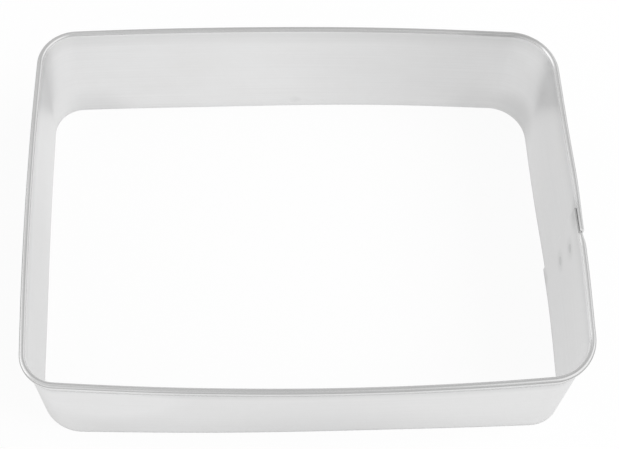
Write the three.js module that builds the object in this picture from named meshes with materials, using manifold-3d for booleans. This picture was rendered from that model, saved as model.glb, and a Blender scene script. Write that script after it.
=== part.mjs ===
// Rectangle cookie cutter: one strip of tinned sheet steel, hemmed along its top edge, bent round
// into a rounded rectangle with slightly bowed sides, lapped at its ends and spot welded there.
// Millimetres, +Z up. The cutting edge stands on Z = 0 and the outline is centred on the origin.

import * as THREE from 'three';
import { mergeVertices } from 'three/addons/utils/BufferGeometryUtils.js';
import Module from 'manifold-3d';

// Size of the cut between the inner faces, and the sheet
const CUT_LENGTH = 88.9;
const CUT_WIDTH = 63.5;
const HEIGHT = 25.4;
const SHEET = 0.3;

// Shape of the inner face at the cutting edge and at the rim, bent by hand. Corners run from the
// front right counter-clockwise and sides from the right one. Push is how far a corner has moved
// along X and Y, bow is how far a side's middle stands out, and skew is how far its second half
// stands out and its first half in.
const CUTTING_EDGE = {
  push: [[0.22, -0.05], [0.11, 0.27], [-0.07, 0.02], [0.34, 0.22]],
  radius: [5.7, 7, 5.3, 7],
  bow: [0.25, 0.82, 0.16, 0.56],
  skew: [-0.18, -0.16, -0.04, -0.07],
};
const RIM = {
  push: [[-0.03, -0.81], [0.03, -0.44], [0.46, -0.49], [0.4, -0.41]],
  radius: [7.1, 7.2, 5.7, 4.8],
  bow: [0.33, 1.02, 0.5, 1.43],
  skew: [-0.15, -0.04, 0, 0.01],
};

// Hem: the top edge is folded outwards and down, and its leg leans back to the wall
const HEM_HEIGHT = 2.6;
const FOLD_GAP = 0.44;
const LEG_GAP = 0.1;

// Seam on the right side: the front end lies inside and the back end outside, trimmed to pass
// under the front hem. The two hems stop short of each other and are pinched flat there, and the
// front end leans in above the upper weld, which leaves a narrow slot behind it.
const SEAM_Y = -7.4;
const LAP = 9.4;
const LAP_GAP = 0.07;
const HEM_NOTCH = 0.5;
const FRONT_PINCH = 2.2;
const BACK_PINCH = 12;
const TRIM_HEIGHT = 22.3;
const SLOT_LEAN = 0.03;
const SLOT_RUN = 0.8;
const SLOT_FLOOR = 20.6;

// Spot welds on the lap, made one at a time and so not quite in line
const WELDS = {
  spot_weld_upper: { y: -7.4, height: 18.8 },
  spot_weld_lower: { y: -6.5, height: 11.9 },
};
const WELD_RADIUS = 0.8;
const WELD_DISH_RADIUS = 0.56;
const WELD_DIMPLE = 0.06;
const WELD_CLEARANCE = 0.3;
const WELD_HOLE_LENGTH = 1.5;

// Number of flat steps along and across the strip
const SIDE_STEPS = 10;
const CORNER_STEPS = 8;
const FRONT_RUN_STEPS = 6;
const LAP_STEPS = { trimmedEnd: 2, hemmedEnd: 4, frontPinch: 3, plainTongue: 5 };
const FOLD_STEPS = 8;
const LEG_STEPS = 2;
const ROUND_STEPS = 24;

// Smallest length that tells two places along the strip apart
const ROUND_OFF = 1e-6;

const RIGHT = 0;
const SIDES = 4;
const CORNER_SIGNS = [[1, -1], [1, 1], [-1, 1], [-1, -1]];
const WALL_ROWS = [0, SLOT_FLOOR / 2, SLOT_FLOOR, TRIM_HEIGHT];
const TRIM_ROW = WALL_ROWS.length - 1;
const EDGE_ROW = WALL_ROWS.length;
const LAP_STEP = SHEET + LAP_GAP;
const OUTER_END = SEAM_Y - LAP / 2;
const INNER_END = SEAM_Y + LAP / 2;
const FRONT_HEM_END = SEAM_Y - HEM_NOTCH / 2;
const BACK_HEM_END = SEAM_Y + HEM_NOTCH / 2;

// Highest value of u (1 - u²)², by which a skew is the most that a side moves
const SKEW_PEAK = 0.8 ** 2 / Math.sqrt(5);

const lerp = THREE.MathUtils.lerp;
const ease = THREE.MathUtils.smoothstep;

// Four corner circles joined by shallow side arcs that meet them without a kink
function makeOutline({ push, radius, bow, skew }) {
  const centres = CORNER_SIGNS.map(([signX, signY], k) => new THREE.Vector2(
    signX * (CUT_LENGTH / 2 - radius[k]) + push[k][0],
    signY * (CUT_WIDTH / 2 - radius[k]) + push[k][1],
  ));
  const sides = centres.map((start, k) => {
    const end = centres[(k + 1) % SIDES];
    const chord = end.clone().sub(start);
    const half = chord.length() / 2;
    const arcRadius = (bow[k] ** 2 + half ** 2) / (2 * bow[k]);
    const outward = new THREE.Vector2(chord.y, -chord.x).normalize();
    const centre = start.clone().lerp(end, 0.5).addScaledVector(outward, bow[k] - arcRadius);
    return { centre, arcRadius, facing: outward.angle(), reach: Math.asin(half / arcRadius) };
  });

  function onSide(k, t) {
    const { centre, arcRadius, facing, reach } = sides[k];
    const u = 2 * t - 1;
    const angle = facing + reach * u;
    const normal = new THREE.Vector2(Math.cos(angle), Math.sin(angle));
    const skewed = (skew[k] * u * (1 - u ** 2) ** 2) / SKEW_PEAK;
    const distance = arcRadius + lerp(radius[k], radius[(k + 1) % SIDES], t) + skewed;
    return { point: centre.clone().addScaledVector(normal, distance), normal };
  }

  function onCorner(k, t) {
    const before = sides[(k + SIDES - 1) % SIDES];
    const first = before.facing + before.reach;
    const last = sides[k].facing - sides[k].reach;
    const angle = first + THREE.MathUtils.euclideanModulo(last - first, 2 * Math.PI) * t;
    const normal = new THREE.Vector2(Math.cos(angle), Math.sin(angle));
    return { point: centres[k].clone().addScaledVector(normal, radius[k]), normal };
  }

  return { centres, onSide, onCorner };
}

const floorOutline = makeOutline(CUTTING_EDGE);
const rimOutline = makeOutline(RIM);

// A place along the right side at a given Y, as a share of that side
function rightSideShare(y) {
  const [start, end] = floorOutline.centres;
  return (y - start.y) / (end.y - start.y);
}

function rightStation(y, layer) {
  return { part: 'onSide', k: RIGHT, t: rightSideShare(y), layer, y };
}

// A point at a height on the wall, moved out from the inner face
function wallPoint({ part, k, t }, height, out) {
  const low = floorOutline[part](k, t);
  const high = rimOutline[part](k, t);
  const share = height / HEIGHT;
  const normal = low.normal.lerp(high.normal, share).normalize();
  const point = low.point.lerp(high.point, share).addScaledVector(normal, out);
  return new THREE.Vector3(point.x, point.y, height);
}

// How far the sheet stands off the inner face's line: the outer end lies on the inner one and comes
// back to the line by the next corner, and the inner end leans in above the slot's floor
function standOff({ layer, y, t }, height) {
  if (layer === 'outer') {
    return LAP_STEP * (1 - ease(t, rightSideShare(INNER_END), 1));
  }
  if (layer === 'inner') {
    const up = Math.max(0, (height - SLOT_FLOOR) / (HEIGHT - SLOT_FLOOR));
    return -SLOT_LEAN * up * ease(y, SEAM_Y, SEAM_Y + SLOT_RUN);
  }
  return 0;
}

// Gap inside the hem's fold, which closes towards the hem's two ends
function foldGap({ layer, y }) {
  if (layer === 'outer' && hasHem({ layer, y })) {
    return lerp(LEG_GAP, FOLD_GAP, ease(y, BACK_HEM_END, BACK_HEM_END + BACK_PINCH));
  }
  if (layer === 'inner' && y <= FRONT_HEM_END) {
    return lerp(FOLD_GAP, LEG_GAP, ease(y, FRONT_HEM_END - FRONT_PINCH, FRONT_HEM_END));
  }
  return FOLD_GAP;
}

// The sheet's two faces in section, from the cutting edge up, over the fold and down the leg
function sheetSection(station) {
  const gap = foldGap(station);
  const foldRadius = SHEET + gap / 2;
  const foldStart = HEIGHT - foldRadius;
  const pairs = WALL_ROWS.map((height) => [[0, height], [SHEET, height]]);
  for (let i = 0; i <= FOLD_STEPS; i += 1) {
    const angle = Math.PI * (1 - i / FOLD_STEPS);
    pairs.push([foldRadius, foldRadius - SHEET].map((radius) => [
      foldRadius + radius * Math.cos(angle),
      foldStart + radius * Math.sin(angle),
    ]));
  }
  for (let i = 1; i <= LEG_STEPS; i += 1) {
    const share = i / LEG_STEPS;
    const inner = SHEET + lerp(gap, LEG_GAP, share);
    const height = lerp(foldStart, HEIGHT - HEM_HEIGHT, share);
    pairs.push([[inner + SHEET, height], [inner, height]]);
  }
  return pairs.map((pair) => pair.map(([out, height]) => (
    wallPoint(station, height, out + standOff(station, height))
  )));
}

// Places along the strip from its outer end, once round counter-clockwise, to its inner end
function stripStations() {
  const stations = [];
  const rightRun = (from, to, steps, layer) => {
    for (let i = 1; i <= steps; i += 1) {
      stations.push(rightStation(lerp(from, to, i / steps), layer));
    }
  };
  const backCorner = floorOutline.centres[1].y;
  const frontCorner = floorOutline.centres[0].y;

  stations.push(rightStation(OUTER_END, 'outer'));
  rightRun(OUTER_END, BACK_HEM_END, LAP_STEPS.trimmedEnd, 'outer');
  rightRun(BACK_HEM_END, INNER_END, LAP_STEPS.hemmedEnd, 'outer');
  rightRun(INNER_END, backCorner, SIDE_STEPS, 'outer');
  for (let k = 1; k <= SIDES; k += 1) {
    for (let i = 1; i <= CORNER_STEPS; i += 1) {
      stations.push({ part: 'onCorner', k: k % SIDES, t: i / CORNER_STEPS });
    }
    for (let i = 1; k < SIDES && i <= SIDE_STEPS; i += 1) {
      stations.push({ part: 'onSide', k, t: i / SIDE_STEPS });
    }
  }
  rightRun(frontCorner, FRONT_HEM_END - FRONT_PINCH, FRONT_RUN_STEPS, 'inner');
  rightRun(FRONT_HEM_END - FRONT_PINCH, FRONT_HEM_END, LAP_STEPS.frontPinch, 'inner');
  rightRun(FRONT_HEM_END, INNER_END, LAP_STEPS.plainTongue, 'inner');
  return stations;
}

// Whether the stretch after a station carries the hem
function hasHem({ layer, y }) {
  if (layer === 'outer') {
    return y >= SEAM_Y;
  }
  if (layer === 'inner') {
    return y < FRONT_HEM_END - ROUND_OFF;
  }
  return true;
}

// The last row of the sheet's section on the stretch after a station
function topRow(station, hemRow) {
  if (hasHem(station)) {
    return hemRow;
  }
  return station.layer === 'outer' ? TRIM_ROW : EDGE_ROW;
}

// One closed skin: the sheet's two faces, its long edges, its ends and the cut ends of the hem
function stripGeometry() {
  const stations = stripStations();
  const sections = stations.map(sheetSection);
  const across = sections[0].length;
  const positions = sections.flat(2).flatMap((point) => point.toArray());
  const index = [];
  const at = (i, j, face) => (i * across + j) * 2 + face;
  const quad = (a, b, c, d) => index.push(a, b, c, a, c, d);
  const tops = stations.map((station) => topRow(station, across - 1));
  const last = stations.length - 1;

  for (let i = 0; i < last; i += 1) {
    for (let j = 0; j < tops[i]; j += 1) {
      quad(at(i, j, 0), at(i, j + 1, 0), at(i + 1, j + 1, 0), at(i + 1, j, 0));
      quad(at(i, j + 1, 1), at(i, j, 1), at(i + 1, j, 1), at(i + 1, j + 1, 1));
    }
    quad(at(i, 0, 1), at(i, 0, 0), at(i + 1, 0, 0), at(i + 1, 0, 1));
    quad(at(i, tops[i], 0), at(i, tops[i], 1), at(i + 1, tops[i], 1), at(i + 1, tops[i], 0));
  }

  for (let i = 0; i <= last; i += 1) {
    const topBefore = i === 0 ? 0 : tops[i - 1];
    const topAfter = i === last ? 0 : tops[i];
    for (let j = topBefore; j < topAfter; j += 1) {
      quad(at(i, j, 0), at(i, j, 1), at(i, j + 1, 1), at(i, j + 1, 0));
    }
    for (let j = topAfter; j < topBefore; j += 1) {
      quad(at(i, j, 0), at(i, j + 1, 0), at(i, j + 1, 1), at(i, j, 1));
    }
  }
  return keepUsed(positions, index);
}

// Drops the section points that no face uses
function keepUsed(positions, index) {
  const places = new Map();
  const kept = [];
  const renumbered = index.map((old) => {
    if (!places.has(old)) {
      places.set(old, places.size);
      kept.push(...positions.slice(old * 3, old * 3 + 3));
    }
    return places.get(old);
  });
  const geometry = new THREE.BufferGeometry();
  geometry.setAttribute('position', new THREE.Float32BufferAttribute(kept, 3));
  geometry.setIndex(renumbered);
  return geometry;
}

const wasm = await Module();
wasm.setup();

function toSolid(geometry) {
  geometry.deleteAttribute('normal');
  geometry.deleteAttribute('uv');
  const merged = mergeVertices(geometry);
  return new wasm.Manifold(new wasm.Mesh({
    numProp: 3,
    vertProperties: new Float32Array(merged.attributes.position.array),
    triVerts: new Uint32Array(merged.index.array),
  }));
}

function toGeometry(solid) {
  const mesh = solid.getMesh();
  const geometry = new THREE.BufferGeometry();
  geometry.setAttribute('position', new THREE.BufferAttribute(mesh.vertProperties, 3));
  geometry.setIndex(new THREE.BufferAttribute(mesh.triVerts, 1));
  geometry.computeVertexNormals();
  return geometry;
}

// Where a weld stands: the middle of the two sheets, and its turn so that its axis crosses them
function weldPlace({ y, height }) {
  const station = rightStation(y, 'inner');
  const { normal } = floorOutline.onSide(RIGHT, station.t);
  return {
    position: wallPoint(station, height, (SHEET + LAP_STEP) / 2),
    rotation: new THREE.Euler(0, 0, normal.angle() - Math.PI / 2),
  };
}

// A round hole for a weld through both sheets
function weldHole(weld) {
  const { position, rotation } = weldPlace(weld);
  const hole = new THREE.CylinderGeometry(
    WELD_RADIUS + WELD_CLEARANCE,
    WELD_RADIUS + WELD_CLEARANCE,
    WELD_HOLE_LENGTH,
    ROUND_STEPS,
  );
  hole.applyMatrix4(new THREE.Matrix4().makeRotationFromEuler(rotation).setPosition(position));
  return hole;
}

// A weld nugget as thick as the two sheets, dished where the electrodes pressed
function weldGeometry() {
  const half = (SHEET + LAP_STEP) / 2;
  const dishedHalf = half - WELD_DIMPLE;
  return new THREE.LatheGeometry([
    new THREE.Vector2(0, -dishedHalf),
    new THREE.Vector2(WELD_DISH_RADIUS, -dishedHalf),
    new THREE.Vector2(WELD_RADIUS, -half),
    new THREE.Vector2(WELD_RADIUS, half),
    new THREE.Vector2(WELD_DISH_RADIUS, dishedHalf),
    new THREE.Vector2(0, dishedHalf),
  ], ROUND_STEPS);
}

const tinplate = new THREE.MeshStandardMaterial({ color: 0xd6d7d8, roughness: 0.3, metalness: 1 });
const weldSteel = new THREE.MeshStandardMaterial({ color: 0xa9aaab, roughness: 0.5, metalness: 1 });

const cutter = new THREE.Group();
cutter.name = 'rectangle_cookie_cutter';

const holes = Object.values(WELDS).map((weld) => toSolid(weldHole(weld)));
const drilled = holes.reduce((solid, hole) => solid.subtract(hole), toSolid(stripGeometry()));
const strip = new THREE.Mesh(toGeometry(drilled), tinplate);
strip.name = 'cutter_strip';
cutter.add(strip);

for (const [name, weld] of Object.entries(WELDS)) {
  const nugget = new THREE.Mesh(weldGeometry(), weldSteel);
  const { position, rotation } = weldPlace(weld);
  nugget.name = name;
  nugget.position.copy(position);
  nugget.rotation.copy(rotation);
  cutter.add(nugget);
}

const middle = new THREE.Box3().setFromObject(cutter).getCenter(new THREE.Vector3());
cutter.position.set(-middle.x, -middle.y, 0);
cutter.updateMatrixWorld(true);

export default cutter;
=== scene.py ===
import math

import bmesh
import bpy
from mathutils import Matrix, Vector


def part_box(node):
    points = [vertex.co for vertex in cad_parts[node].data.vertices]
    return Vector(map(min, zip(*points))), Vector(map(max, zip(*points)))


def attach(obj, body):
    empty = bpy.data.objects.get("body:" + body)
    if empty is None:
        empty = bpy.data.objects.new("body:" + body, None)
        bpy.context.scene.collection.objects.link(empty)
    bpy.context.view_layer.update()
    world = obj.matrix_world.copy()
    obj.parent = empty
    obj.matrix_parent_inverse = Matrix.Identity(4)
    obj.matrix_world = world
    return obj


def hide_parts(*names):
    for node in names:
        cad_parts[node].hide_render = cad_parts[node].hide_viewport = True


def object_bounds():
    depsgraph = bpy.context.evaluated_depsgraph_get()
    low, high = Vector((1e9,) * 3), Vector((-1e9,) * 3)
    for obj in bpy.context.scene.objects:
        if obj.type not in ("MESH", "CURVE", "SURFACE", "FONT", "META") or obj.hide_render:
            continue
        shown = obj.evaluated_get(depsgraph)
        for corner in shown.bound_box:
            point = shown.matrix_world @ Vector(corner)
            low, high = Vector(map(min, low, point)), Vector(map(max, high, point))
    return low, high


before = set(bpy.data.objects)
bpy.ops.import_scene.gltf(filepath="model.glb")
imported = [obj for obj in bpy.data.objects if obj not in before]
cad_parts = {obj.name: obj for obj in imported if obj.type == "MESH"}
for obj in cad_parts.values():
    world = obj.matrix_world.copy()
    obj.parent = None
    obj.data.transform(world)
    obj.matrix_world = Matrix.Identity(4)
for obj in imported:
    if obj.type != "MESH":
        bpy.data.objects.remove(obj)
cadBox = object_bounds()  # box of the bare solids

scene = bpy.context.scene
scene.view_settings.view_transform = "Standard"

mm = 0.001  # shapes are drawn in millimetres and brought to metres at the end
hair = 1e-6  # a length far below any that is drawn, to allow for rounding


# node helpers

def addNode(tree, kind, inputs=None, **settings):
    node = tree.nodes.new(kind)
    for name, value in settings.items():
        setattr(node, name, value)
    for socket, value in (inputs or {}).items():
        if isinstance(value, bpy.types.NodeSocket):
            tree.links.new(value, node.inputs[socket])
        else:
            node.inputs[socket].default_value = value
    return node


def calc(tree, operation, first, second=0.0, clamp=False):
    numbers = {0: first, 1: second}
    return addNode(tree, "ShaderNodeMath", numbers, operation=operation, use_clamp=clamp).outputs[0]


def vecCalc(tree, operation, first, second=(0.0, 0.0, 0.0)):
    vectors = {0: first, 1: second}
    return addNode(tree, "ShaderNodeVectorMath", vectors, operation=operation).outputs["Vector"]


def vecMeasure(tree, operation, first, second=(0.0, 0.0, 0.0)):  # a length, distance or dot product
    vectors = {0: first, 1: second}
    return addNode(tree, "ShaderNodeVectorMath", vectors, operation=operation).outputs["Value"]


def vecScale(tree, vector, scale):
    scaled = {0: vector, "Scale": scale}
    return addNode(tree, "ShaderNodeVectorMath", scaled, operation="SCALE").outputs["Vector"]


def spread(tree, value, fromRange, toRange=(0.0, 1.0), style="LINEAR"):
    return addNode(tree, "ShaderNodeMapRange", {
        "Value": value, "From Min": fromRange[0], "From Max": fromRange[1],
        "To Min": toRange[0], "To Max": toRange[1],
    }, interpolation_type=style).outputs["Result"]


def noise(tree, vector, scale, detail, rough):
    return addNode(tree, "ShaderNodeTexNoise", {
        "Vector": vector, "Scale": scale, "Detail": detail, "Roughness": rough,
    }).outputs[0]


def mixGrey(tree, share, first, second):  # float mix
    return addNode(tree, "ShaderNodeMix", {0: share, 2: first, 3: second}).outputs[0]


def mixColour(tree, share, first, second):
    return addNode(tree, "ShaderNodeMix", {0: share, 6: first, 7: second}, data_type="RGBA").outputs[2]


def grey(level, warm=0.0):
    return (level * (1 + warm), level, level * (1 - warm), 1.0)


def newMaterial(name):
    material = bpy.data.materials.new(name)
    material.use_nodes = True
    tree = material.node_tree
    tree.nodes.clear()
    output = addNode(tree, "ShaderNodeOutputMaterial")
    return material, tree, output


# camera at the photograph's angle

viewPoint = {
    "lens": 79.34, "sensor": 36.0, "nearest": 0.01,
    "elevation": 63.011, "turn": -8.614, "roll": 7.241,
    "distance": 0.250537, "target": (0.002218, 0.007758, 0.0),
}


def placeCamera(settings):
    up, turn, roll = (math.radians(settings[name]) for name in ("elevation", "turn", "roll"))
    back = Vector((math.sin(turn) * math.cos(up), -math.cos(turn) * math.cos(up), math.sin(up)))
    level = Vector((math.cos(turn), math.sin(turn), 0.0))
    axes = Matrix((level, back.cross(level), back)).transposed() @ Matrix.Rotation(roll, 3, "Z")
    lens = bpy.data.cameras.new("photoLens")
    lens.lens = settings["lens"]
    lens.sensor_width = settings["sensor"]
    lens.clip_start = settings["nearest"]
    camera = bpy.data.objects.new("photoCamera", lens)
    place = Vector(settings["target"]) + back * settings["distance"]
    camera.matrix_world = Matrix.Translation(place) @ axes.to_4x4()
    scene.collection.objects.link(camera)
    scene.camera = camera


placeCamera(viewPoint)
print("camera placed")


# the bent, hemmed strip
# corners run from the front right counter-clockwise, sides from the right one

stripSizes = {
    "cutLength": 88.9, "cutWidth": 63.5, "height": 25.4, "sheet": 0.3,
    "cuttingEdge": {
        "push": ((0.22, -0.05), (0.11, 0.27), (-0.07, 0.02), (0.34, 0.22)),
        "radius": (5.7, 7, 5.3, 7), "bow": (0.25, 0.82, 0.16, 0.56), "skew": (-0.18, -0.16, -0.04, -0.07),
    },
    "rim": {
        "push": ((-0.03, -0.81), (0.03, -0.44), (0.46, -0.49), (0.4, -0.41)),
        "radius": (7.1, 7.2, 5.7, 4.8), "bow": (0.33, 1.02, 0.5, 1.43), "skew": (-0.15, -0.04, 0, 0.01),
    },
    "hemHeight": 2.6, "foldGap": 0.44, "legGap": 0.1,
    "seamY": -7.4, "lap": 9.4, "hemNotch": 0.5,
    "lapGap": 0.02, "solidGap": 0.07,  # real layers touch, so they lie closer here than the solids do
    "frontPinch": 2.2, "backPinch": 12.0, "trimHeight": 22.3,
    "slotLean": 0.03, "slotRun": 0.8, "slotFloor": 20.6,
    "cornerSteps": 26, "sideSteps": 40, "seamStep": 0.28, "rightStep": 1.2,
    "trimRows": 24, "edgeRows": 4, "foldRows": 14, "legRows": 6,
    "waviness": 0.05, "waveLength": 13.0, "seed": 4,
    "edgeRound": 0.045, "edgeSegments": 2, "edgeAngle": 50, "sharpAngle": 38,
}
weldSizes = {
    "places": {"spot_weld_upper": (-7.4, 18.8), "spot_weld_lower": (-6.5, 11.9)},  # along the side and up
    "radius": 0.8, "proud": 0.03, "steps": 40, "probe": 5.0,
    "crater": ((0.0, 0.35), (0.25, 0.4), (0.45, 0.55), (0.62, 0.8),
               (0.78, 1.0), (0.9, 0.85), (0.97, 0.5), (1.0, 0.0)),  # shares of the radius and of proud
}


def smooth(value, low, high):
    share = min(1.0, max(0.0, (value - low) / (high - low)))
    return share * share * (3 - 2 * share)


def mix(first, second, share):
    return first + (second - first) * share


skewPeak = 0.8 ** 2 / math.sqrt(5)  # most of u * (1 - u ** 2) ** 2, so a skew is the most that a side moves


class Outline:
    # four corner circles joined by shallow side arcs that meet them without a kink
    def __init__(self, sizes, level):
        self.radius, self.skew = level["radius"], level["skew"]
        halfLength, halfWidth = sizes["cutLength"] / 2, sizes["cutWidth"] / 2
        signs = ((1, -1), (1, 1), (-1, 1), (-1, -1))
        self.centres = []
        for (signX, signY), (pushX, pushY), radius in zip(signs, level["push"], self.radius):
            x = signX * (halfLength - radius) + pushX
            y = signY * (halfWidth - radius) + pushY
            self.centres.append(Vector((x, y)))
        self.sides = []
        for k, bow in enumerate(level["bow"]):
            start, end = self.centres[k], self.centres[(k + 1) % 4]
            chord = end - start
            half = chord.length / 2
            arcRadius = (bow ** 2 + half ** 2) / (2 * bow)
            outward = Vector((chord.y, -chord.x)).normalized()
            centre = (start + end) / 2 + outward * (bow - arcRadius)
            facing = math.atan2(outward.y, outward.x)
            self.sides.append((centre, arcRadius, facing, math.asin(half / arcRadius)))

    def onSide(self, k, t):
        centre, arcRadius, facing, reach = self.sides[k]
        u = 2 * t - 1
        angle = facing + reach * u
        normal = Vector((math.cos(angle), math.sin(angle)))
        cornerRadius = mix(self.radius[k], self.radius[(k + 1) % 4], t)
        skewed = self.skew[k] * u * (1 - u ** 2) ** 2 / skewPeak
        return centre + normal * (arcRadius + cornerRadius + skewed), normal

    def onCorner(self, k, t):
        first = self.sides[k - 1][2] + self.sides[k - 1][3]
        last = self.sides[k][2] - self.sides[k][3]
        angle = first + ((last - first) % (2 * math.pi)) * t
        normal = Vector((math.cos(angle), math.sin(angle)))
        return self.centres[k] + normal * self.radius[k], normal


edgeLine = Outline(stripSizes, stripSizes["cuttingEdge"])
rimLine = Outline(stripSizes, stripSizes["rim"])


def rightShare(y):  # a place along the right side, as a share of that side
    start, end = edgeLine.centres[0].y, edgeLine.centres[1].y
    return (y - start) / (end - start)


def rightStation(y, **more):
    return {"part": "onSide", "k": 0, "t": rightShare(y), **more}


def wallPoint(station, height, out):
    (low, lowOut), (high, highOut) = (getattr(line, station["part"])(station["k"], station["t"])
                                      for line in (edgeLine, rimLine))
    share = height / stripSizes["height"]
    return low.lerp(high, share) + lowOut.lerp(highOut, share).normalized() * out


def planShift(sizes, places):  # from the drawing's plan to the frame, read off a weld that both have
    low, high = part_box("spot_weld_upper")
    lapStep = sizes["sheet"] + sizes["solidGap"]
    y, height = places["spot_weld_upper"]
    drawn = wallPoint(rightStation(y), height, (sizes["sheet"] + lapStep) / 2)
    return (low + high).xy / 2 / mm - drawn


shift = planShift(stripSizes, weldSizes["places"])


def stripStations(sizes):
    # once round counter-clockwise from the outer end to the inner end, both on the right side
    seamY, notch = sizes["seamY"], sizes["hemNotch"] / 2
    outerEnd, innerEnd = seamY - sizes["lap"] / 2, seamY + sizes["lap"] / 2
    frontHemEnd, backHemStart = seamY - notch, seamY + notch
    lapStep = sizes["sheet"] + sizes["lapGap"]
    allRows = sizes["trimRows"] + sizes["edgeRows"] + sizes["foldRows"] + sizes["legRows"]
    frontStart, backEnd = edgeLine.centres[0].y, edgeLine.centres[1].y
    stations = []

    def addRun(start, end, step, makeStation):
        count = max(2, round(abs(end - start) / step))
        first = 0 if not stations else 1  # a later run starts where the one before it ends
        for i in range(first, count + 1):
            stations.append(makeStation(mix(start, end, i / count)))

    def outerLayer(y):
        away = lapStep * (1 - smooth(rightShare(y), rightShare(innerEnd), 1))
        hemmed = y > seamY
        opened = smooth(y, backHemStart, backHemStart + sizes["backPinch"])
        gap = mix(sizes["legGap"], sizes["foldGap"], opened)
        return rightStation(y, away=away, lean=0.0,
                            gap=gap if hemmed else sizes["foldGap"],
                            rows=allRows if hemmed else sizes["trimRows"])

    def innerLayer(y):
        lean = sizes["slotLean"] * smooth(y, seamY, seamY + sizes["slotRun"])
        hemmed = y < frontHemEnd - hair
        pinched = smooth(y, frontHemEnd - sizes["frontPinch"], frontHemEnd)
        gap = mix(sizes["foldGap"], sizes["legGap"], pinched)
        return rightStation(y, away=0.0, lean=lean,
                            gap=gap if y <= frontHemEnd + hair else sizes["foldGap"],
                            rows=allRows if hemmed else sizes["trimRows"] + sizes["edgeRows"])

    def around(part, k):
        return lambda t: {"part": part, "k": k, "t": t, "away": 0.0, "lean": 0.0,
                          "gap": sizes["foldGap"], "rows": allRows}

    addRun(outerEnd, backHemStart, sizes["seamStep"], outerLayer)
    addRun(backHemStart, innerEnd, sizes["seamStep"], outerLayer)
    addRun(innerEnd, backEnd, sizes["rightStep"], outerLayer)
    for k in (1, 2, 3, 0):
        addRun(0, 1, 1 / sizes["cornerSteps"], around("onCorner", k))
        if k:
            addRun(0, 1, 1 / sizes["sideSteps"], around("onSide", k))
    addRun(frontStart, outerEnd, sizes["rightStep"], innerLayer)
    addRun(outerEnd, frontHemEnd, sizes["seamStep"], innerLayer)
    addRun(frontHemEnd, innerEnd, sizes["seamStep"], innerLayer)
    return stations


def storeOnPoints(mesh, name, kind, field, values):
    mesh.attributes.new(name, kind, "POINT").data.foreach_set(field, values)


def guideMesh(name, line, height, stations):
    # a bare line of points that carries what the node tree needs at each place along the strip
    points, outwards = [], []
    for station in stations:
        point, outward = getattr(line, station["part"])(station["k"], station["t"])
        points.append((point + shift + outward * station["away"]).to_3d() + Vector((0, 0, height)))
        outwards.extend(outward.to_3d())
    along = [0.0]
    for before, after in zip(points, points[1:]):
        along.append(along[-1] + (after - before).length)
    mesh = bpy.data.meshes.new(name)
    mesh.from_pydata(points, [(i, i + 1) for i in range(len(points) - 1)], [])
    storeOnPoints(mesh, "outward", "FLOAT_VECTOR", "vector", outwards)
    for key in ("gap", "rows", "lean"):
        storeOnPoints(mesh, key, "FLOAT", "value", [station[key] for station in stations])
    storeOnPoints(mesh, "along", "FLOAT", "value", along)
    guide = bpy.data.objects.new(name, mesh)
    scene.collection.objects.link(guide)
    return guide


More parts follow.
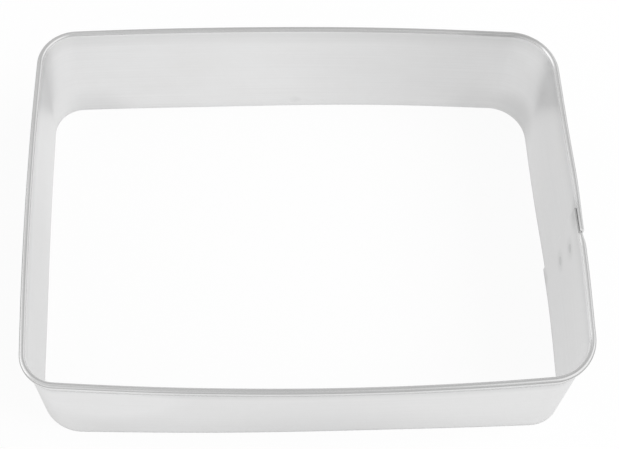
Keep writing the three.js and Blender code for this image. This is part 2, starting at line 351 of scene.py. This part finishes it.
def stripTree():
    tree = bpy.data.node_groups.new("hemmedStrip", "GeometryNodeTree")
    sockets = (
        ("Edge Guide", "Object"), ("Rim Guide", "Object"), ("Height", "Float"), ("Sheet", "Float"),
        ("Trim Height", "Float"), ("Hem Height", "Float"), ("Leg Gap", "Float"), ("Slot Floor", "Float"),
        ("Trim Rows", "Int"), ("Edge Rows", "Int"), ("Fold Rows", "Int"), ("Leg Rows", "Int"),
        ("Waviness", "Float"), ("Wave Length", "Float"), ("Seed", "Int"), ("Material", "Material"),
    )
    for name, kind in sockets:
        tree.interface.new_socket(name, in_out="INPUT", socket_type="NodeSocket" + kind)
    tree.interface.new_socket("Strip", in_out="OUTPUT", socket_type="NodeSocketGeometry")
    given = addNode(tree, "NodeGroupInput").outputs

    def geometry(kind, inputs, **settings):
        return addNode(tree, kind, inputs, **settings).outputs["Geometry"]

    edge = geometry("GeometryNodeObjectInfo", {"Object": given["Edge Guide"]})
    rim = geometry("GeometryNodeObjectInfo", {"Object": given["Rim Guide"]})
    counted = addNode(tree, "GeometryNodeAttributeDomainSize", {"Geometry": edge}, component="MESH")
    wallRows = calc(tree, "ADD", given["Trim Rows"], given["Edge Rows"])
    bentRows = calc(tree, "ADD", wallRows, given["Fold Rows"])
    faceRows = calc(tree, "ADD", bentRows, given["Leg Rows"])
    pointRows = calc(tree, "ADD", faceRows, 1.0)
    grid = addNode(tree, "GeometryNodeMeshGrid", {
        "Vertices X": counted.outputs["Point Count"], "Vertices Y": pointRows,
    }).outputs["Mesh"]
    index = addNode(tree, "GeometryNodeInputIndex").outputs[0]

    def stationOf(rows):
        return calc(tree, "FLOOR", calc(tree, "DIVIDE", calc(tree, "ADD", index, 0.5), rows))

    def sample(line, kind, station, name=None):
        if name:
            named = addNode(tree, "GeometryNodeInputNamedAttribute", {"Name": name}, data_type=kind)
            value = named.outputs["Attribute"]
        else:
            value = addNode(tree, "GeometryNodeInputPosition").outputs[0]
        asked = {"Geometry": line, "Value": value, "Index": station}
        return addNode(tree, "GeometryNodeSampleIndex", asked, data_type=kind, domain="POINT").outputs[0]

    station = stationOf(pointRows)
    row = calc(tree, "SUBTRACT", index, calc(tree, "MULTIPLY", station, pointRows))

    def shareOf(firstRow, rows):
        return calc(tree, "DIVIDE", calc(tree, "SUBTRACT", row, firstRow), rows, clamp=True)

    # how far up the wall, round the fold and down the leg this row is
    trimShare = shareOf(0.0, given["Trim Rows"])
    edgeShare = shareOf(given["Trim Rows"], given["Edge Rows"])
    foldTurn = calc(tree, "MULTIPLY", shareOf(wallRows, given["Fold Rows"]), math.pi)
    legShare = shareOf(bentRows, given["Leg Rows"])

    gap = sample(edge, "FLOAT", station, "gap")
    foldRadius = calc(tree, "MULTIPLY", calc(tree, "ADD", given["Sheet"], gap), 0.5)
    foldReach = calc(tree, "ADD", given["Sheet"], calc(tree, "MULTIPLY", gap, 0.5))
    foldStart = calc(tree, "SUBTRACT", given["Height"], foldReach)
    upWall = calc(tree, "MULTIPLY", trimShare, given["Trim Height"])
    upEdge = calc(tree, "MULTIPLY", edgeShare, calc(tree, "SUBTRACT", foldStart, given["Trim Height"]))
    upStraight = calc(tree, "ADD", upWall, upEdge)
    upFold = calc(tree, "MULTIPLY", foldRadius, calc(tree, "SINE", foldTurn))
    downLeg = calc(tree, "MULTIPLY", legShare, calc(tree, "SUBTRACT", given["Hem Height"], foldReach))
    height = calc(tree, "SUBTRACT", calc(tree, "ADD", upStraight, upFold), downLeg)

    foldSwing = calc(tree, "SUBTRACT", 1.0, calc(tree, "COSINE", foldTurn))
    outFold = calc(tree, "MULTIPLY", foldRadius, foldSwing)
    legEase = spread(tree, legShare, (0.0, 1.0), style="SMOOTHSTEP")
    inLeg = calc(tree, "MULTIPLY", legEase, calc(tree, "SUBTRACT", gap, given["Leg Gap"]))
    outSheet = calc(tree, "MULTIPLY", given["Sheet"], 0.5)
    leanShare = spread(tree, height, (given["Slot Floor"], given["Height"]))
    inLean = calc(tree, "MULTIPLY", leanShare, sample(edge, "FLOAT", station, "lean"))
    out = calc(tree, "SUBTRACT", calc(tree, "ADD", outSheet, outFold), calc(tree, "ADD", inLeg, inLean))

    share = calc(tree, "DIVIDE", height, given["Height"])

    def between(low, high):
        return addNode(tree, "ShaderNodeMix", {0: share, 4: low, 5: high}, data_type="VECTOR").outputs[1]

    inner = between(sample(edge, "FLOAT_VECTOR", station), sample(rim, "FLOAT_VECTOR", station))
    outward = vecCalc(tree, "NORMALIZE", between(sample(edge, "FLOAT_VECTOR", station, "outward"),
                                                 sample(rim, "FLOAT_VECTOR", station, "outward")))
    # hand-bent sheet is never quite true, so it dips inwards a little here and there
    waveScale = calc(tree, "DIVIDE", 1.0, given["Wave Length"])
    wave = addNode(tree, "ShaderNodeTexNoise", {
        "Vector": inner, "W": given["Seed"], "Scale": waveScale, "Detail": 1.0,
    }, noise_dimensions="4D").outputs[0]
    outWaved = calc(tree, "SUBTRACT", out, calc(tree, "MULTIPLY", wave, given["Waviness"]))
    place = vecCalc(tree, "ADD", inner, vecScale(tree, outward, outWaved))

    # the sheet laid flat, along and across in millimetres, for the finish
    roundFold = calc(tree, "MULTIPLY", foldRadius, foldTurn)
    across = calc(tree, "ADD", upStraight, calc(tree, "ADD", roundFold, downLeg))
    along = sample(edge, "FLOAT", station, "along")
    flat = addNode(tree, "ShaderNodeCombineXYZ", {"X": along, "Y": across}).outputs[0]
    flat = addNode(tree, "GeometryNodeFieldOnDomain", {"Value": flat},
                   domain="POINT", data_type="FLOAT_VECTOR").outputs[0]
    laidFlat = {"Geometry": grid, "Name": "stripUV", "Value": flat}
    strip = geometry("GeometryNodeStoreNamedAttribute", laidFlat, data_type="FLOAT2", domain="CORNER")
    strip = geometry("GeometryNodeSetPosition", {"Geometry": strip, "Position": place})

    # the hem is cut away where the ends lap
    faceStation = stationOf(faceRows)
    faceRow = calc(tree, "SUBTRACT", index, calc(tree, "MULTIPLY", faceStation, faceRows))
    kept = sample(edge, "FLOAT", faceStation, "rows")
    cutAway = calc(tree, "GREATER_THAN", faceRow, calc(tree, "SUBTRACT", kept, 0.5))
    strip = geometry("GeometryNodeDeleteGeometry", {"Geometry": strip, "Selection": cutAway},
                     domain="FACE", mode="ALL")
    strip = geometry("GeometryNodeSetShadeSmooth", {"Geometry": strip})
    strip = geometry("GeometryNodeRealizeInstances", {"Geometry": strip})
    strip = geometry("GeometryNodeSetMaterial", {"Geometry": strip, "Material": given["Material"]})
    addNode(tree, "NodeGroupOutput", {"Strip": strip})
    return tree


def setInputs(modifier, values):
    for item in modifier.node_group.interface.items_tree:
        if item.item_type == "SOCKET" and item.in_out == "INPUT":
            modifier[item.identifier] = values[item.name]


def toPlainMesh(thing, name):
    graph = bpy.context.evaluated_depsgraph_get()
    shaped = thing.evaluated_get(graph)
    mesh = bpy.data.meshes.new_from_object(shaped, preserve_all_data_layers=True, depsgraph=graph)
    thing.modifiers.clear()
    thing.data = mesh
    mesh.name = name
    return mesh


def makeStrip(sizes, material):
    stations = stripStations(sizes)
    guides = (guideMesh("edgeGuide", edgeLine, 0.0, stations),
              guideMesh("rimGuide", rimLine, sizes["height"], stations))
    strip = bpy.data.objects.new("bent_tin_strip", bpy.data.meshes.new("blank"))
    scene.collection.objects.link(strip)
    shaping = strip.modifiers.new("hemmedStrip", "NODES")
    shaping.node_group = stripTree()
    setInputs(shaping, {
        "Edge Guide": guides[0], "Rim Guide": guides[1], "Height": sizes["height"], "Sheet": sizes["sheet"],
        "Trim Height": sizes["trimHeight"], "Hem Height": sizes["hemHeight"], "Leg Gap": sizes["legGap"],
        "Slot Floor": sizes["slotFloor"], "Trim Rows": sizes["trimRows"], "Edge Rows": sizes["edgeRows"],
        "Fold Rows": sizes["foldRows"], "Leg Rows": sizes["legRows"], "Waviness": sizes["waviness"],
        "Wave Length": sizes["waveLength"], "Seed": sizes["seed"], "Material": material,
    })
    sheet = strip.modifiers.new("sheet", "SOLIDIFY")
    sheet.thickness = sizes["sheet"]
    sheet.offset = 0.0
    sheet.use_even_offset = True
    worn = strip.modifiers.new("wornEdges", "BEVEL")
    worn.width = sizes["edgeRound"]
    worn.segments = sizes["edgeSegments"]
    worn.limit_method = "ANGLE"
    worn.angle_limit = math.radians(sizes["edgeAngle"])
    mesh = toPlainMesh(strip, "bentTinStrip")
    mesh.transform(Matrix.Scale(mm, 4))
    for vertex in mesh.vertices:  # both long edges flush with the solid's
        vertex.co.z = min(max(vertex.co.z, cadBox[0][2]), cadBox[1][2])
    mesh.set_sharp_from_angle(angle=math.radians(sizes["sharpAngle"]))
    for guide in guides:
        bpy.data.objects.remove(guide)
    return strip


# weld marks, each a shallow crater on both faces of the lap

def makeWeld(name, y, height, sizes, sheet, material):
    station = rightStation(y)
    outward = edgeLine.onSide(0, station["t"])[1].to_3d()
    spot = (wallPoint(station, height, stripSizes["sheet"]) + shift).to_3d() + Vector((0, 0, height))

    def faceMet(way):  # the lap's face on that side as bent, waviness and all
        return sheet.ray_cast((spot + way * sizes["probe"]) * mm, -way)[1] / mm

    inner, outer = faceMet(-outward), faceMet(outward)
    middle, half = (inner + outer) / 2, (outer - inner).length / 2
    # half profile from the middle of the inner face to the middle of the outer one
    profile = [(share * sizes["radius"], -half - rise * sizes["proud"]) for share, rise in sizes["crater"]]
    profile += [(distance, -along) for distance, along in reversed(profile)]
    side = Vector((0, 0, 1))
    across = outward.cross(side)
    steps = sizes["steps"]
    shape = bmesh.new()
    rings = []
    for distance, along in profile:
        centre = middle + outward * along
        if distance == 0:
            rings.append([shape.verts.new(centre)])
            continue
        ring = []
        for i in range(steps):
            angle = 2 * math.pi * i / steps
            way = side * math.cos(angle) + across * math.sin(angle)
            ring.append(shape.verts.new(centre + way * distance))
        rings.append(ring)
    for before, after in zip(rings, rings[1:]):
        for i in range(steps):
            j = (i + 1) % steps
            corners = (before[i % len(before)], before[j % len(before)],
                       after[j % len(after)], after[i % len(after)])
            shape.faces.new(list(dict.fromkeys(corners)))  # three corners where a ring is one point
    bmesh.ops.recalc_face_normals(shape, faces=shape.faces)
    bmesh.ops.scale(shape, vec=(mm, mm, mm), verts=shape.verts)
    mesh = bpy.data.meshes.new(name)
    shape.to_mesh(mesh)
    shape.free()
    mesh.polygons.foreach_set("use_smooth", [True] * len(mesh.polygons))
    mesh.materials.append(material)
    weld = bpy.data.objects.new(name, mesh)
    scene.collection.objects.link(weld)
    return weld


# finishes

def finishMetal(tree, output, base, rough, relief, look):
    bump = addNode(tree, "ShaderNodeBump", {
        "Height": relief, "Strength": look["bump"], "Distance": look["bumpDepth"],
    }).outputs[0]
    shader = addNode(tree, "ShaderNodeBsdfPrincipled", {
        "Base Color": base, "Metallic": 1.0, "Roughness": rough, "Normal": bump,
    })
    tree.links.new(shader.outputs[0], output.inputs["Surface"])


tinLook = {
    "tone": 0.845, "mottle": 0.05, "tint": 0.004, "roughness": (0.30, 0.36), "foldRoughness": 0.24,
    "bump": 0.12, "bumpDepth": 0.00003,
    # each noise has its scale, detail and roughness
    "lines": {"noise": (1.0, 4.0, 0.65), "stretch": (0.03, 3.2, 1.0), "range": (0.3, 0.7),
              "share": 0.16, "tone": 0.72, "relief": 0.25},
    "cloud": {"noise": (0.11, 3.0, 0.55), "range": (0.3, 0.7)},
    "grain": {"noise": (2.6, 2.0, 0.6), "relief": 0.2},
    "scratch": {"noise": (1.0, 1.0, 0.4), "stretch": (0.09, 4.0, 1.0), "turn": (0, 0, 0.35),
                "range": (0.70, 0.74), "rough": 0.01, "relief": 0.1},
    "smudge": {"noise": (0.06, 2.0, 0.6), "range": (0.52, 0.7), "rough": 0.01},
    "weldRing": {"reach": (0.0011, 0.0026), "tone": 0.42, "share": 0.16},
    # bands of painted shade across the sheet, in millimetres from the cutting edge up the wall and over the
    # fold
    # painted shade: a little darker near the cutting edge, on both faces
    "edge": {"band": (0.0, 2.4), "paintedShading": 0.03},
    # painted shade over the outer face, darker toward its cutting edge
    "outerFace": {"band": (0.0, 13.0), "edgeShading": 0.10, "paintedShading": 0.05},
    # painted shade on the outer face just below the hem
    "underHem": {"band": (19.0, 21.6), "paintedShading": 0.12},
    # painted shade on the top of the wall, below the fold
    "underFold": {"band": (20.5, 24.5), "paintedShading": 0.09},
    # painted shade that darkens the hem's fold and, most of all, its leg
    "hem": {"band": (25.3, 26.2), "paintedShading": 0.16},
    "leg": {"band": (26.4, 27.0), "paintedShading": 0.30},
    "foldStart": (24.6, 24.9), "wallEnd": (24.7, 25.0),
    "faceChange": (-0.01, 0.01),  # how far a face points outwards where inside turns to outside
    # the dark grey that painted shade mixes towards
    "paintedShadingTone": 0.12,
    # soft patches, each with its place in millimetres, reach and strength; most are painted shade, speck is
    # a small darker dot and seamFoot darkens the foot of the seam
    "markCore": 0.2,  # share of the reach at full strength
    "marks": {
        "inner": {
            # painted shade low in the back corners, over the left, right and back walls inside, and on the
            # tongue's top beside the slot
            "backLeft": ((-37.0, 31.5, 1.5), 8.0, 0.09), "backRight": ((35.5, 31.5, 2.5), 7.0, 0.07),
            "rightCorner": ((42.5, 29.0, 3.0), 7.0, 0.16), "speck": ((0.35, 33.4, 2.2), 1.4, 0.06),
            "leftWall": ((-42.0, -12.0, 12.0), 32.0, 0.09), "rightWall": ((44.5, -2.0, 12.0), 30.0, 0.06),
            "backWall": ((17.0, 33.0, 14.0), 26.0, 0.06), "tongueTop": ((45.2, -2.8, 24.5), 3.8, 0.17),
            "seamFoot": ((44.9, -3.9, 0.6), 2.4, 0.14),
        },
        "rim": {  # painted shade on the inner half of the fold, darkening the back rim's right part
            "backRight": ((36.0, 33.5, 25.0), 10.0, 0.26),
        },
        "outer": {  # painted shade at the front wall's foot and the left wall's front; below zero, painted light on the front left and along the left hem
            "frontEdge": ((2.0, -32.0, 0.0), 24.0, 0.05), "frontLeft": ((-33.0, -35.0, 20.0), 16.0, -0.13),
            "leftHem": ((-46.0, 16.0, 23.0), 22.0, -0.14), "leftFront": ((-46.0, -16.0, 25.0), 18.0, 0.10),
        },
    },
}


def tinplate(look, weldNodes):
    material, tree, output = newMaterial("tinplate")
    place = addNode(tree, "ShaderNodeTexCoord").outputs["Object"]
    placeMm = vecScale(tree, place, 1 / mm)
    flat = addNode(tree, "ShaderNodeUVMap", uv_map="stripUV").outputs["UV"]  # along and across, in mm

    # lines left by the rolling mill run along the strip
    rolled = addNode(tree, "ShaderNodeMapping", {
        "Vector": flat, "Scale": look["lines"]["stretch"],
    }).outputs[0]
    lines = spread(tree, noise(tree, rolled, *look["lines"]["noise"]), look["lines"]["range"])
    # cloudy bloom of the tin coat, and its grain
    cloud = noise(tree, placeMm, *look["cloud"]["noise"])
    grain = noise(tree, placeMm, *look["grain"]["noise"])
    # hair scratches, a few long ones slanted across the strip
    slanted = addNode(tree, "ShaderNodeMapping", {
        "Vector": flat, "Rotation": look["scratch"]["turn"], "Scale": look["scratch"]["stretch"],
    }).outputs[0]
    scratch = spread(tree, noise(tree, slanted, *look["scratch"]["noise"]), look["scratch"]["range"])
    # finger marks
    smudge = spread(tree, noise(tree, placeMm, *look["smudge"]["noise"]), look["smudge"]["range"])
    # dull ring where each weld heated the tin
    ring = 0.0
    for node in weldNodes:
        low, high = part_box(node)
        away = vecMeasure(tree, "DISTANCE", place, (low + high) / 2)
        near = spread(tree, away, look["weldRing"]["reach"], (1.0, 0.0), "SMOOTHSTEP")
        ring = calc(tree, "MAXIMUM", ring, near)

    # painted shade on the hem and its leg, on the wall below the fold and near the cutting edge
    across = addNode(tree, "ShaderNodeSeparateXYZ", {0: flat}).outputs["Y"]
    onWall = spread(tree, across, look["wallEnd"], (1.0, 0.0))

    def paintedShadingBand(part):
        return spread(tree, across, look[part]["band"], (0.0, look[part]["paintedShading"]), "SMOOTHSTEP")

    leg = spread(tree, across, look["leg"]["band"], (0.0, look["leg"]["paintedShading"] - look["hem"]["paintedShading"]))
    hem = calc(tree, "ADD", paintedShadingBand("hem"), leg)
    underFold = calc(tree, "MULTIPLY", paintedShadingBand("underFold"), onWall)
    edge = spread(tree, across, look["edge"]["band"], (look["edge"]["paintedShading"], 0.0), "SMOOTHSTEP")
    paintedShading = calc(tree, "ADD", calc(tree, "ADD", hem, underFold), edge)

    normal = addNode(tree, "ShaderNodeNewGeometry").outputs["Normal"]
    sideways = vecCalc(tree, "MULTIPLY", place, (1.0, 1.0, 0.0))
    outside = spread(tree, vecMeasure(tree, "DOT_PRODUCT", normal, sideways), look["faceChange"])
    inside = calc(tree, "SUBTRACT", 1.0, outside)
    # painted shade over the outer face, more toward the cutting edge and just below the hem
    outerFace = look["outerFace"]
    fromEdge = (outerFace["edgeShading"], outerFace["paintedShading"])
    outerShading = spread(tree, across, outerFace["band"], fromEdge, "SMOOTHSTEP")
    outerShading = calc(tree, "MULTIPLY", calc(tree, "ADD", outerShading, paintedShadingBand("underHem")), onWall)
    paintedShading = calc(tree, "ADD", paintedShading, calc(tree, "MULTIPLY", outside, outerShading))

    onRim = calc(tree, "MULTIPLY", inside, calc(tree, "SUBTRACT", 1.0, onWall))
    # painted shade from the patches, taken away where a strength is below zero
    sides = {"inner": inside, "rim": onRim, "outer": outside}
    for side, marks in look["marks"].items():
        for centre, reach, strength in marks.values():
            away = vecMeasure(tree, "DISTANCE", placeMm, centre)
            near = spread(tree, away, (reach * look["markCore"], reach), (strength, 0.0), "SMOOTHSTEP")
            paintedShading = calc(tree, "ADD", paintedShading, calc(tree, "MULTIPLY", near, sides[side]))

    tone, mottle, tint = look["tone"], look["mottle"], look["tint"]
    base = mixColour(tree, cloud, grey(tone * (1 - mottle), tint), grey(tone * (1 + mottle), -tint))
    lineShare = calc(tree, "MULTIPLY", lines, look["lines"]["share"])
    base = mixColour(tree, lineShare, base, grey(tone * look["lines"]["tone"]))
    ringShare = calc(tree, "MULTIPLY", ring, look["weldRing"]["share"])
    base = mixColour(tree, ringShare, base, grey(look["weldRing"]["tone"]))
    # painted shade: the base is mixed toward dark grey by the summed shading, and less where painted light
    # is below zero
    base = mixColour(tree, paintedShading, base, grey(look["paintedShadingTone"]))

    rough = spread(tree, cloud, look["cloud"]["range"], look["roughness"])
    rough = calc(tree, "ADD", rough, calc(tree, "MULTIPLY", smudge, look["smudge"]["rough"]))
    rough = calc(tree, "ADD", rough, calc(tree, "MULTIPLY", scratch, look["scratch"]["rough"]), clamp=True)
    rough = mixGrey(tree, spread(tree, across, look["foldStart"]), rough, look["foldRoughness"])

    rolledUp = calc(tree, "MULTIPLY", lines, look["lines"]["relief"])
    relief = calc(tree, "ADD", rolledUp, calc(tree, "MULTIPLY", grain, look["grain"]["relief"]))
    relief = calc(tree, "SUBTRACT", relief, calc(tree, "MULTIPLY", scratch, look["scratch"]["relief"]))
    finishMetal(tree, output, base, rough, relief, look)
    return material


weldLook = {
    "scorch": (1800.0, 3.0, 0.6), "tones": (0.62, 0.74), "range": (0.3, 0.7), "roughness": (0.38, 0.55),
    "pits": (5200.0, 2.0, 0.6), "bump": 0.3, "bumpDepth": 0.00004,
}


def weldMark(look):
    material, tree, output = newMaterial("weldMark")
    place = addNode(tree, "ShaderNodeTexCoord").outputs["Object"]
    scorch = noise(tree, place, *look["scorch"])
    dark, light = look["tones"]
    base = mixColour(tree, scorch, grey(dark), grey(light))
    rough = spread(tree, scorch, look["range"], look["roughness"])
    pits = noise(tree, place, *look["pits"])
    finishMetal(tree, output, base, rough, pits, look)
    return material


strip = makeStrip(stripSizes, tinplate(tinLook, weldSizes["places"]))
print("strip bent:", len(strip.data.polygons), "faces")
weldFinish = weldMark(weldLook)
bpy.context.view_layer.update()
welds = {name: makeWeld(name + "_mark", y, height, weldSizes, strip, weldFinish)
         for name, (y, height) in weldSizes["places"].items()}
print("welds marked:", len(welds))


# pale floor and soft studio light

studio = {
    "floorSize": 3.0, "floorTone": 0.9, "floorDrop": 0.00002,
    "whiteSeen": 0.93, "whiteMirrored": 0.67,
    # the mirrored floor dims with its distance from the cutter's plan, given here by its half sizes
    "planHalf": (0.046, 0.034, 0.0), "dimming": (0.012, 0.08), "mirrorTone": (1.0, 0.2),
    "overhead": 0.36, "horizon": 0.64, "skyBand": (0.1, 0.55), "skyMirrored": 0.3,
    "glows": {
        "right": {"side": (0.68, -0.25, 0.69), "strength": 0.71, "reach": (0.74, 0.93)},
        "left": {"side": (-0.90, 0.10, 0.30), "strength": 0.85, "reach": (0.895, 0.945), "tall": 0.5},
        "above": {"side": (-0.35, 0.25, 0.90), "strength": 0.35, "reach": (0.915, 0.97)},
        "rightBack": {"side": (0.80, 0.50, 0.35), "strength": 0.35, "reach": (0.85, 0.95)},
        "frontLeft": {"side": (-0.60, -0.60, 0.50), "strength": 0.3, "reach": (0.74, 0.86)},
    },
    "key": {"place": (0.50, -0.10, 0.60), "size": 0.40, "power": 2.9},
}


def seenShare(tree, camera, mirrored):
    path = addNode(tree, "ShaderNodeLightPath").outputs
    direct = calc(tree, "MULTIPLY", path["Is Camera Ray"], camera)
    other = calc(tree, "MAXIMUM", path["Is Glossy Ray"], path["Is Transmission Ray"])
    return calc(tree, "ADD", direct, calc(tree, "MULTIPLY", other, mirrored), clamp=True)


def makeFloor(settings):
    material, tree, output = newMaterial("paleFloor")
    plain = addNode(tree, "ShaderNodeBsdfDiffuse", {"Color": grey(settings["floorTone"])}).outputs[0]
    place = addNode(tree, "ShaderNodeTexCoord").outputs["Object"]
    past = vecCalc(tree, "SUBTRACT", vecCalc(tree, "ABSOLUTE", place), settings["planHalf"])
    away = vecMeasure(tree, "LENGTH", vecCalc(tree, "MAXIMUM", past))
    dimmed = spread(tree, away, settings["dimming"], settings["mirrorTone"], "SMOOTHSTEP")
    direct = addNode(tree, "ShaderNodeLightPath").outputs["Is Camera Ray"]
    white = addNode(tree, "ShaderNodeEmission", {
        "Color": grey(1.0), "Strength": mixGrey(tree, direct, dimmed, 1.0),
    }).outputs[0]
    share = seenShare(tree, settings["whiteSeen"], settings["whiteMirrored"])
    mixed = addNode(tree, "ShaderNodeMixShader", {0: share, 1: plain, 2: white}).outputs[0]
    tree.links.new(mixed, output.inputs["Surface"])
    half, drop = settings["floorSize"] / 2, -settings["floorDrop"]
    corners = [(-half, -half, drop), (half, -half, drop), (half, half, drop), (-half, half, drop)]
    mesh = bpy.data.meshes.new("paleFloor")
    mesh.from_pydata(corners, [], [(0, 1, 2, 3)])
    mesh.materials.append(material)
    floor = bpy.data.objects.new("paleFloor", mesh)
    scene.collection.objects.link(floor)


def makeWorld(settings):
    world = bpy.data.worlds.new("studio")
    scene.world = world
    world.use_nodes = True
    tree = world.node_tree
    tree.nodes.clear()
    direction = addNode(tree, "ShaderNodeTexCoord").outputs["Generated"]
    height = addNode(tree, "ShaderNodeSeparateXYZ", {0: direction}).outputs["Z"]
    tones = (settings["horizon"], settings["overhead"])
    level = spread(tree, height, settings["skyBand"], tones, "SMOOTHSTEP")
    for glow in settings["glows"].values():
        flattened = vecCalc(tree, "MULTIPLY", direction, (1.0, 1.0, glow.get("tall", 1.0)))
        towards = Vector(glow["side"]).normalized()
        facing = vecMeasure(tree, "DOT_PRODUCT", vecCalc(tree, "NORMALIZE", flattened), towards)
        glowing = spread(tree, facing, glow["reach"], (0.0, glow["strength"]), "SMOOTHSTEP")
        level = calc(tree, "ADD", level, glowing)
    strength = mixGrey(tree, seenShare(tree, 1.0, settings["skyMirrored"]), level, 1.0)
    light = addNode(tree, "ShaderNodeBackground", {"Color": grey(1.0), "Strength": strength}).outputs[0]
    addNode(tree, "ShaderNodeOutputWorld", {"Surface": light})


def makeLamp(name, settings):
    lamp = bpy.data.lights.new(name, "AREA")
    lamp.energy = settings["power"]
    lamp.size = settings["size"]
    thing = bpy.data.objects.new(name, lamp)
    place = Vector(settings["place"])
    thing.location = place
    thing.rotation_mode = "QUATERNION"
    thing.rotation_quaternion = (-place).to_track_quat("-Z", "Y")
    thing.visible_glossy = False
    scene.collection.objects.link(thing)


makeFloor(studio)
makeWorld(studio)
makeLamp("keySoftbox", studio["key"])
print("studio lit")


# tie the pieces to the frame

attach(strip, "root")
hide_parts("cutter_strip")
for node, weld in welds.items():
    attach(weld, "root")
    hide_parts(node)
